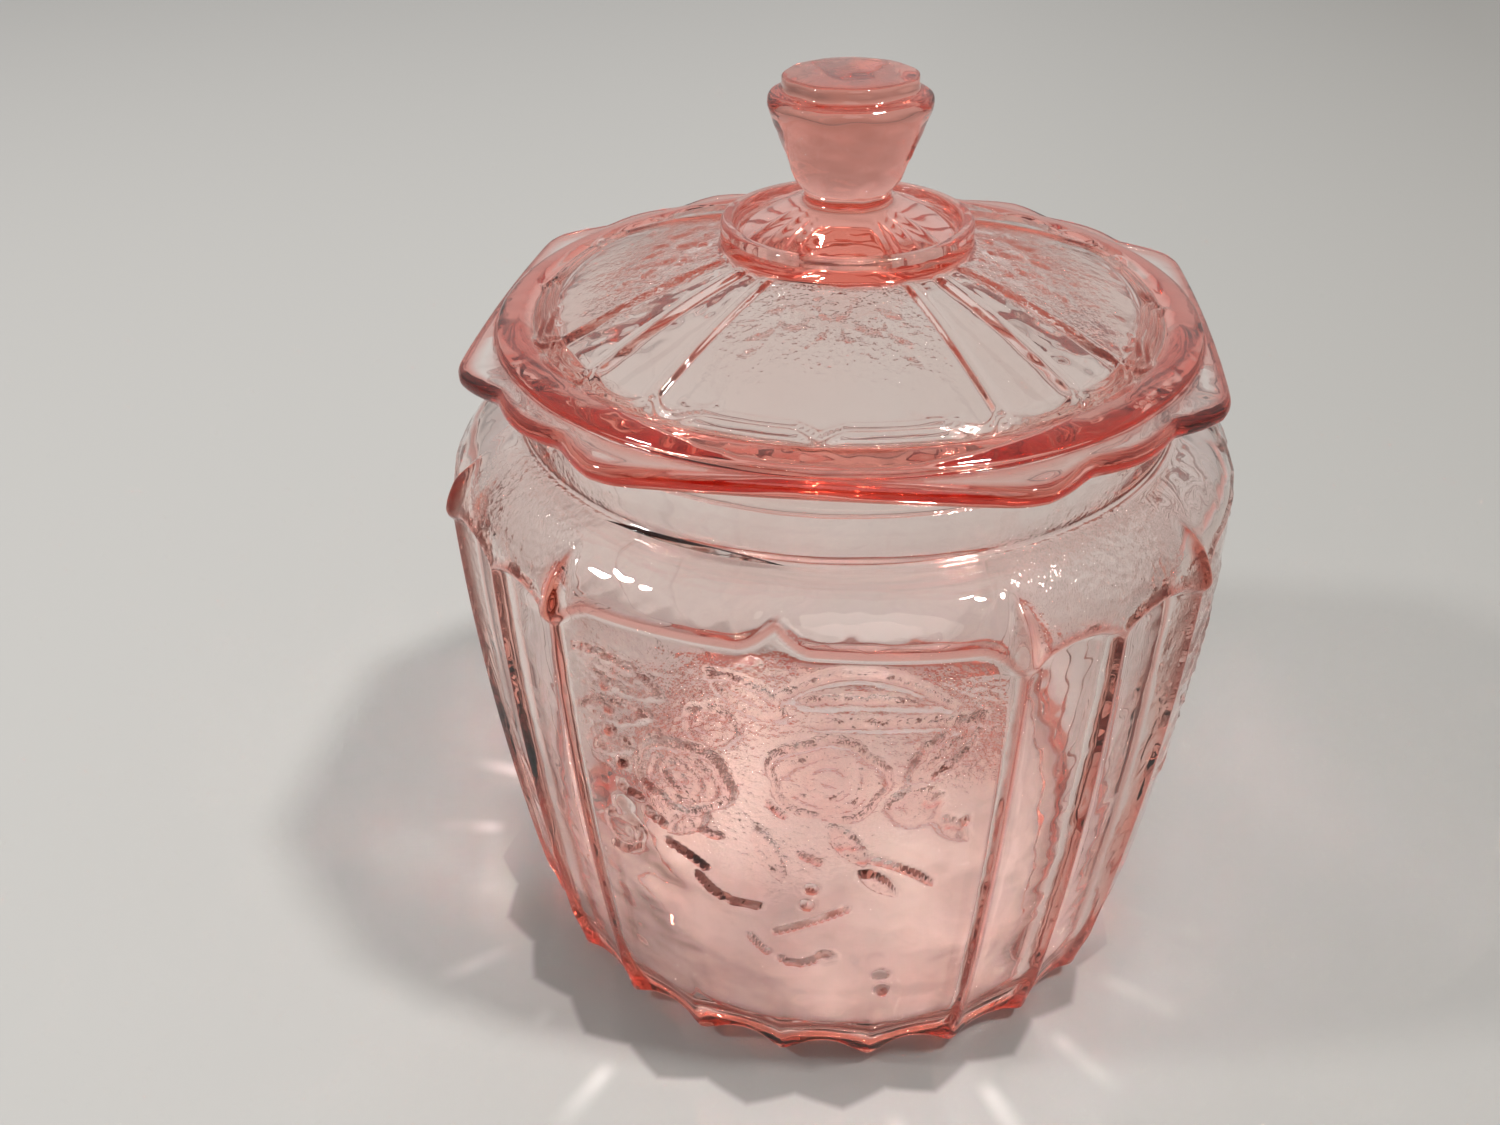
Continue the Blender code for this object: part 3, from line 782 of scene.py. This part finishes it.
def lid_rings():
    """Rings of the lid, from the middle of its underside, out and back over the dome to the knob."""
    under = [(CENTRE_RADIUS, CENTRE_Z), (COLLAR_RADIUS, COLLAR_FOOT_Z - LID_WALL),
             (38.0, DOME_FOOT_Z + 1.9), (SKIRT_INNER - 2.4, DOME_FOOT_Z - LID_WALL + 0.8)]
    under += arc(SKIRT_INNER - 1.6, DOME_FOOT_Z - LID_WALL - 1.2, 1.6, 60, 0, 6)
    under += [(SKIRT_INNER, z) for z in np.linspace(DOME_FOOT_Z - LID_WALL - 2.5, SKIRT_Z + 2.2, 6)]
    under += arc(SKIRT_INNER + 1.9, SKIRT_Z + 1.9, 1.9, 180, 270, 7)
    under += arc(SKIRT_OUTER - 1.9, SKIRT_Z + 1.9, 1.9, 270, 360, 7)
    under += [(SKIRT_OUTER, z) for z in np.linspace(SKIRT_Z + 3.2, SEAT_Z - 1.6, 6)]
    under += arc(SKIRT_OUTER + 0.9, SEAT_Z - 0.9, 0.9, 180, 92, 5)
    under += [(62.2, SEAT_Z), (63.2, SEAT_Z)]
    rings = [ring(COARSE, radius, z) for radius, z in under]
    edge = flange_radius(DENSE)
    for share in (0.0, 0.35, 0.75):
        rings.append(ring(DENSE, 64.0 + (edge - FLANGE_ROUND - 64.0) * share, SEAT_Z))
    middle = (SEAT_Z + FLANGE_TOP_Z) / 2
    half = (FLANGE_TOP_Z - SEAT_Z) / 2
    for turn in np.radians(np.linspace(-90, 90, 13)):
        inset = FLANGE_ROUND * (1 - math.cos(turn))
        rings.append(ring(DENSE, edge - inset, middle + half * math.sin(turn)))
    for share in (0.75, 0.5, 0.25, 0.1):
        radius = BAND_RADIUS + 0.05 + (edge - FLANGE_ROUND - BAND_RADIUS - 0.05) * share
        rings.append(ring(DENSE, radius, FLANGE_TOP_Z))
    heights = np.concatenate([BAND_RADIUS - 0.02 - 0.9 * np.array([0.0, 0.1, 0.35, 0.75]),
                              np.arange(BAND_RADIUS - 1.6, 63.6, -0.8), np.arange(63.5, 56.0, -0.45),
                              np.arange(55.8, COLLAR_RADIUS + 0.7, -0.68)])
    for radius in heights:
        rings.append(ring(DENSE, radius, lid_profile(radius) + lid_relief(DENSE, radius)))
    collar = arc(COLLAR_RADIUS + 0.6, COLLAR_FOOT_Z + 0.75, 0.6, 250, 180, 5)
    collar += arc(COLLAR_RADIUS - 1.1, COLLAR_TOP_Z - 1.1, 1.1, 0, 90, 7)
    collar += arc(COLLAR_INNER + 1.0, COLLAR_TOP_Z - 1.0, 1.0, 90, 180, 7)
    rings += [ring(COARSE, radius, z) for radius, z in collar]
    for share in np.linspace(0.0, 1.0, 16):
        radius = COLLAR_INNER - 0.2 + (KNOB_FOOT_RADIUS + 0.8 - COLLAR_INNER + 0.2) * share
        z = COLLAR_FLOOR_Z + (KNOB_FOOT_Z - 0.4 - COLLAR_FLOOR_Z) * share ** 0.9
        fade = math.sin(math.pi * min(1.0, share + 0.12))
        away = rib_distance(COARSE, radius)
        rings.append(ring(COARSE, radius, z + 0.55 * fade * np.exp(-(away / 0.75) ** 2)))
    rings += [ring(COARSE, radius + knob_wave(COARSE, radius, z), z) for radius, z in knob_profile()]
    return rings


def knob_wave(angles, radius, z):
    """Slow unevenness of the knob's sides, none on its flat top."""
    turn = np.radians(angles)
    wave = np.sin(6 * turn + 0.7 * z) * np.sin(0.9 * z + 2 * turn) + 0.5 * np.sin(11 * turn - 0.5 * z)
    return KNOB_WAVE * wave * smooth((radius - 6.0) / 4.0)


def knob_profile():
    """Outline of the solid knob, from its foot over the bulge to the top disc."""
    profile = [(8.1, 167.6), (8.2, 168.2), (8.55, 168.9), (9.2, 169.7), (9.9, 170.5)]
    lower, upper = (10.5, 171.6), (14.55, 182.4)
    for share in np.linspace(0.0, 1.0, 9):
        profile.append((lower[0] + (upper[0] - lower[0]) * share, lower[1] + (upper[1] - lower[1]) * share))
    profile += arc(13.05, 184.6, 2.2, -22, 84, 9)
    profile += [(12.85, 187.0), (12.55, 187.35)]
    profile += [(12.5, 188.0)]
    profile += arc(11.5, LID_TOP_Z - 1.35, 1.0, 0, 80, 6)
    profile += [(9.5, LID_TOP_Z - 0.28), (6.0, LID_TOP_Z - 0.12), (2.5, LID_TOP_Z - 0.03)]
    return profile


def lid_stipple(verts):
    """Where the lid is stippled: the upper part of the four dome panels."""
    radius = np.hypot(verts[:, 0], verts[:, 1])
    azimuth = np.degrees(np.arctan2(verts[:, 0], -verts[:, 1]))
    a = np.abs(folded(azimuth))
    dome = (verts[:, 2] > DOME_FOOT_Z - 0.5) & (radius > COLLAR_RADIUS + 0.5)
    return np.where(dome, (a < 28.5) * (1.0 - smooth((radius - 40.0) / 8.0)), 0.0)


# ---- Materials -----------------------------------------------------------------------------------

def glass_material(name, wave_scale, density):
    """Pink pressed glass: tinted in its depth, faintly wavy, stippled, and with painted shade deepening it
    where the mesh says.
    """
    material = bpy.data.materials.new(name)
    material.use_nodes = True
    nodes, links = material.node_tree.nodes, material.node_tree.links
    shader = nodes["Principled BSDF"]
    shader.inputs["IOR"].default_value = GLASS_IOR
    shader.inputs["Transmission Weight"].default_value = 1.0
    shader.inputs["Metallic"].default_value = 0.0
    place = nodes.new("ShaderNodeTexCoord")
    mask = nodes.new("ShaderNodeAttribute")
    mask.attribute_name = "stipple"

    cloud = nodes.new("ShaderNodeTexNoise")
    cloud.inputs["Scale"].default_value = 45.0
    cloud.inputs["Detail"].default_value = 3.0
    links.new(place.outputs["Object"], cloud.inputs["Vector"])
    tint = nodes.new("ShaderNodeValToRGB")
    tint.color_ramp.elements[0].position = 0.35
    tint.color_ramp.elements[0].color = (1.0, 0.98, 0.975, 1.0)
    tint.color_ramp.elements[1].position = 0.65
    tint.color_ramp.elements[1].color = (1.0, 0.995, 0.99, 1.0)
    links.new(cloud.outputs["Fac"], tint.inputs["Fac"])
    # Painted shade: the mesh's mask deepens the colour where light through thick glass looks darker and
    # redder.
    painted_shade = nodes.new("ShaderNodeAttribute")
    painted_shade.attribute_name = "painted_shade"
    deep = nodes.new("ShaderNodeValToRGB")
    deep.color_ramp.elements[0].color = (1.0, 1.0, 1.0, 1.0)
    deep.color_ramp.elements[1].color = (0.84, 0.16, 0.10, 1.0)
    links.new(painted_shade.outputs["Fac"], deep.inputs["Fac"])
    mixed = nodes.new("ShaderNodeMix")
    mixed.data_type = "RGBA"
    mixed.blend_type = "MULTIPLY"
    mixed.inputs["Factor"].default_value = 1.0
    links.new(tint.outputs["Color"], mixed.inputs["A"])
    links.new(deep.outputs["Color"], mixed.inputs["B"])
    links.new(mixed.outputs["Result"], shader.inputs["Base Color"])

    rough = nodes.new("ShaderNodeMapRange")
    rough.inputs["To Min"].default_value = 0.0
    rough.inputs["To Max"].default_value = 0.025
    links.new(mask.outputs["Fac"], rough.inputs["Value"])
    links.new(rough.outputs["Result"], shader.inputs["Roughness"])

    wave = nodes.new("ShaderNodeTexNoise")
    wave.inputs["Scale"].default_value = wave_scale
    wave.inputs["Detail"].default_value = 2.0
    links.new(place.outputs["Object"], wave.inputs["Vector"])
    wave_bump = nodes.new("ShaderNodeBump")
    wave_bump.inputs["Strength"].default_value = 1.0
    wave_bump.inputs["Distance"].default_value = 0.0005
    links.new(wave.outputs["Fac"], wave_bump.inputs["Height"])

    grain = nodes.new("ShaderNodeTexNoise")
    grain.inputs["Scale"].default_value = 650.0
    grain.inputs["Detail"].default_value = 2.0
    links.new(place.outputs["Object"], grain.inputs["Vector"])
    grain_bump = nodes.new("ShaderNodeBump")
    grain_bump.inputs["Distance"].default_value = 0.0003
    links.new(mask.outputs["Fac"], grain_bump.inputs["Strength"])
    links.new(grain.outputs["Fac"], grain_bump.inputs["Height"])
    links.new(wave_bump.outputs["Normal"], grain_bump.inputs["Normal"])
    links.new(grain_bump.outputs["Normal"], shader.inputs["Normal"])

    depth = nodes.new("ShaderNodeVolumeAbsorption")
    depth.inputs["Color"].default_value = (*GLASS_TINT, 1.0)
    depth.inputs["Density"].default_value = density
    links.new(depth.outputs["Volume"], nodes["Material Output"].inputs["Volume"])
    return material


def reckon(tree, operation, first, *others):
    """A math node fed by a socket and by further sockets or numbers."""
    node = tree.nodes.new("ShaderNodeMath")
    node.operation = operation
    tree.links.new(first, node.inputs[0])
    for index, value in enumerate(others, 1):
        if isinstance(value, float):
            node.inputs[index].default_value = value
        else:
            tree.links.new(value, node.inputs[index])
    return node.outputs["Value"]


def stepped(tree, value, start, end):
    """A smooth step of a socket from 0 at start to 1 at end."""
    node = tree.nodes.new("ShaderNodeMapRange")
    node.interpolation_type = "SMOOTHSTEP"
    node.inputs["From Min"].default_value = start
    node.inputs["From Max"].default_value = end
    tree.links.new(value, node.inputs["Value"])
    return node.outputs["Result"]


def heel_shade_and_glints(tree, place):
    """Brightness of the floor round the heel: a scalloped shade, and glints between the scallops."""
    shift = tree.nodes.new("ShaderNodeMapping")
    shift.inputs["Location"].default_value = SHADE_PLACE
    tree.links.new(place, shift.inputs["Vector"])
    turn = tree.nodes.new("ShaderNodeTexGradient")
    turn.gradient_type = "RADIAL"
    tree.links.new(shift.outputs["Vector"], turn.inputs["Vector"])
    length = tree.nodes.new("ShaderNodeVectorMath")
    length.operation = "LENGTH"
    tree.links.new(shift.outputs["Vector"], length.inputs[0])
    reach = length.outputs["Value"]
    phase = reckon(tree, "FRACT", reckon(tree, "MULTIPLY", turn.outputs["Fac"], SCALLOPS))
    tip = reckon(tree, "ABSOLUTE", reckon(tree, "SUBTRACT", phase, 0.5))
    edge = reckon(tree, "MULTIPLY_ADD", tip, SHADE_SCALLOP, SHADE_REACH)
    shade = stepped(tree, reckon(tree, "SUBTRACT", reach, edge), -0.001, 0.0012)
    uneven = tree.nodes.new("ShaderNodeTexNoise")
    uneven.inputs["Scale"].default_value = 28.0
    tree.links.new(place, uneven.inputs["Vector"])
    rays = stepped(tree, tip, 0.16, 0.0)
    peak = GLINT_START + 0.006
    window = reckon(tree, "MULTIPLY", stepped(tree, reach, GLINT_START, peak),
                    stepped(tree, reach, GLINT_END, peak))
    patchy = stepped(tree, uneven.outputs["Fac"], 0.42, 0.62)
    glint = reckon(tree, "MULTIPLY", reckon(tree, "MULTIPLY", rays, window), patchy)
    sides = tree.nodes.new("ShaderNodeSeparateXYZ")
    tree.links.new(place, sides.inputs["Vector"])
    behind = stepped(tree, sides.outputs["Y"], -0.045, -0.01)
    lit = reckon(tree, "MAXIMUM", shade, behind)
    base = reckon(tree, "MULTIPLY_ADD", lit, SHADE_DEPTH, 1.0 - SHADE_DEPTH)
    return reckon(tree, "MULTIPLY_ADD", glint, GLINT_STRENGTH, base)


def floor_material():
    """Matt pale paper with painted light: painted shade darkening it towards the right, a painted pool of
    gathered light under the glass, and painted shade and glints round it.
    """
    material = bpy.data.materials.new("floor_paper")
    material.use_nodes = True
    nodes, links = material.node_tree.nodes, material.node_tree.links
    shader = nodes["Principled BSDF"]
    shader.inputs["Roughness"].default_value = 0.85
    shader.inputs["Specular IOR Level"].default_value = 0.2
    place = nodes.new("ShaderNodeTexCoord")
    split = nodes.new("ShaderNodeSeparateXYZ")
    links.new(place.outputs["Object"], split.inputs["Vector"])
    # Painted shade: the paper darkens towards the right, where less lamp light falls.
    across = nodes.new("ShaderNodeMapRange")
    across.inputs["From Min"].default_value = -0.1
    across.inputs["From Max"].default_value = 0.4
    links.new(split.outputs["X"], across.inputs["Value"])
    ramp = nodes.new("ShaderNodeValToRGB")
    ramp.color_ramp.elements[0].color = (0.385, 0.382, 0.372, 1.0)
    ramp.color_ramp.elements[1].color = (0.285, 0.28, 0.268, 1.0)
    links.new(across.outputs["Result"], ramp.inputs["Fac"])
    mottle = nodes.new("ShaderNodeTexNoise")
    mottle.inputs["Scale"].default_value = 45.0
    links.new(place.outputs["Object"], mottle.inputs["Vector"])
    pool = nodes.new("ShaderNodeValToRGB")
    pool.color_ramp.elements[0].position = 0.35
    pool.color_ramp.elements[0].color = (0.47, 0.455, 0.445, 1.0)
    pool.color_ramp.elements[1].position = 0.65
    pool.color_ramp.elements[1].color = (0.68, 0.665, 0.64, 1.0)
    links.new(mottle.outputs["Fac"], pool.inputs["Fac"])
    reach = nodes.new("ShaderNodeVectorMath")
    reach.operation = "LENGTH"
    links.new(place.outputs["Object"], reach.inputs[0])
    edge = nodes.new("ShaderNodeMapRange")
    edge.interpolation_type = "SMOOTHSTEP"
    edge.inputs["From Min"].default_value = POOL_INNER
    edge.inputs["From Max"].default_value = POOL_OUTER
    links.new(reach.outputs["Value"], edge.inputs["Value"])
    mixed = nodes.new("ShaderNodeMix")
    mixed.data_type = "RGBA"
    links.new(edge.outputs["Result"], mixed.inputs["Factor"])
    links.new(pool.outputs["Color"], mixed.inputs["A"])
    # Painted shadow and painted glints round the heel darken and brighten the paper.
    heel_shaded = nodes.new("ShaderNodeVectorMath")
    heel_shaded.operation = "SCALE"
    links.new(ramp.outputs["Color"], heel_shaded.inputs[0])
    links.new(heel_shade_and_glints(material.node_tree, place.outputs["Object"]), heel_shaded.inputs["Scale"])
    links.new(heel_shaded.outputs["Vector"], mixed.inputs["B"])
    links.new(mixed.outputs["Result"], shader.inputs["Base Color"])
    return material


# ---- Stage ---------------------------------------------------------------------------------------

def add_camera():
    """View from the front, slightly to the right, looking down on the lid."""
    data = bpy.data.cameras.new("view")
    data.lens = 31.26
    data.sensor_width = 36.0
    data.clip_start = 0.01
    camera = bpy.data.objects.new("view", data)
    camera.location = (0.0311, -0.2426, 0.2461)
    heading = Matrix.Rotation(math.radians(11.91), 3, "Z")
    tilt = Matrix.Rotation(math.radians(90.0 - 33.61), 3, "X")
    roll = Matrix.Rotation(math.radians(-0.95), 3, "Z")
    camera.rotation_euler = (heading @ tilt @ roll).to_euler()
    bpy.context.scene.collection.objects.link(camera)
    bpy.context.scene.camera = camera


def add_area(name, place, target, size, power, color):
    """A soft area light aimed at a point."""
    data = bpy.data.lights.new(name, "AREA")
    data.shape = "DISK"
    data.size = size
    data.energy = power
    data.color = color
    light = bpy.data.objects.new(name, data)
    light.location = place
    aim = Vector(target) - Vector(place)
    light.rotation_euler = aim.to_track_quat("-Z", "Y").to_euler()
    bpy.context.scene.collection.objects.link(light)


def add_stage():
    """Pale floor, even surrounding light and soft lamps."""
    size = 4.0
    mesh = bpy.data.meshes.new("floor")
    mesh.from_pydata([(-size, -size, 0.0), (size, -size, 0.0), (size, size, 0.0), (-size, size, 0.0)], [],
                     [(0, 1, 2, 3)])
    mesh.materials.append(floor_material())
    floor = bpy.data.objects.new("floor", mesh)
    bpy.context.scene.collection.objects.link(floor)
    bpy.context.scene.world = studio_world()
    middle = (0.0, 0.0, 0.08)
    warm = (1.0, 0.98, 0.95)
    add_area("lamp_right", (1.12, -0.22, 2.4), middle, 0.26, 44.0, warm)
    add_area("lamp_front", (0.38, -1.65, 1.5), middle, 1.4, 8.0, warm)
    add_area("lamp_left", (-1.36, -0.56, 1.45), middle, 0.22, 17.0, warm)


def studio_world():
    """Surrounding light: pale above, dim low down on the viewer's side."""
    world = bpy.data.worlds.new("studio")
    world.use_nodes = True
    nodes, links = world.node_tree.nodes, world.node_tree.links
    sky = nodes["Background"]
    place = nodes.new("ShaderNodeTexCoord")
    split = nodes.new("ShaderNodeSeparateXYZ")
    links.new(place.outputs["Generated"], split.inputs["Vector"])
    height = nodes.new("ShaderNodeMapRange")
    height.interpolation_type = "SMOOTHSTEP"
    height.inputs["From Min"].default_value = 0.0
    height.inputs["From Max"].default_value = 0.45
    links.new(split.outputs["Z"], height.inputs["Value"])
    ramp = nodes.new("ShaderNodeValToRGB")
    ramp.color_ramp.elements[0].color = (0.60, 0.58, 0.56, 1.0)
    ramp.color_ramp.elements[1].color = (1.0, 0.99, 0.98, 1.0)
    links.new(height.outputs["Result"], ramp.inputs["Fac"])
    viewer = nodes.new("ShaderNodeTexGradient")
    viewer.gradient_type = "SPHERICAL"
    shift = nodes.new("ShaderNodeMapping")
    shift.inputs["Location"].default_value = VIEWER_SHADE_PLACE
    shift.inputs["Scale"].default_value = (VIEWER_SHADE_SCALE, VIEWER_SHADE_SCALE, VIEWER_SHADE_SCALE)
    links.new(place.outputs["Generated"], shift.inputs["Vector"])
    links.new(shift.outputs["Vector"], viewer.inputs["Vector"])
    shade = nodes.new("ShaderNodeValToRGB")
    shade.color_ramp.elements[0].color = (1.0, 1.0, 1.0, 1.0)
    shade.color_ramp.elements[1].position = 0.5
    shade.color_ramp.elements[1].color = (0.13, 0.09, 0.08, 1.0)
    links.new(viewer.outputs["Fac"], shade.inputs["Fac"])
    mixed = nodes.new("ShaderNodeMix")
    mixed.data_type = "RGBA"
    mixed.blend_type = "MULTIPLY"
    mixed.inputs["Factor"].default_value = 1.0
    links.new(ramp.outputs["Color"], mixed.inputs["A"])
    links.new(shade.outputs["Color"], mixed.inputs["B"])
    links.new(mixed.outputs["Result"], sky.inputs["Color"])
    sky.inputs["Strength"].default_value = 0.72
    return world


def render_settings():
    """Enough bounces for light to cross several walls of glass."""
    scene = bpy.context.scene
    scene.cycles.max_bounces = 24
    scene.cycles.transmission_bounces = 24
    scene.cycles.glossy_bounces = 12
    scene.cycles.transparent_max_bounces = 12
    scene.cycles.sample_clamp_indirect = 0.0
    scene.cycles.use_denoising = True
    scene.cycles.blur_glossy = 0.0
    scene.view_settings.view_transform = "Standard"
    scene.view_settings.exposure = 0.0


def build():
    jar = shell_object("jar_pressed_glass", jar_rings(), FOOT_RECESS, FLOOR_Z - 0.75,
                       glass_material("jar_pink_glass", 60.0, JAR_DENSITY),
                       {"stipple": jar_stipple, "painted_shade": jar_painted_shade})
    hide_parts("jar")
    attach(jar, "jar")
    lid = shell_object("lid_pressed_glass", lid_rings(), CENTRE_Z, LID_TOP_Z,
                       glass_material("lid_pink_glass", 70.0, LID_DENSITY),
                       {"stipple": lid_stipple, "painted_shade": lid_painted_shade})
    lid.rotation_euler = (0.0, 0.0, math.radians(LID_TURN))
    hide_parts("lid")
    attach(lid, "lid")


add_camera()
build()
add_stage()
render_settings()
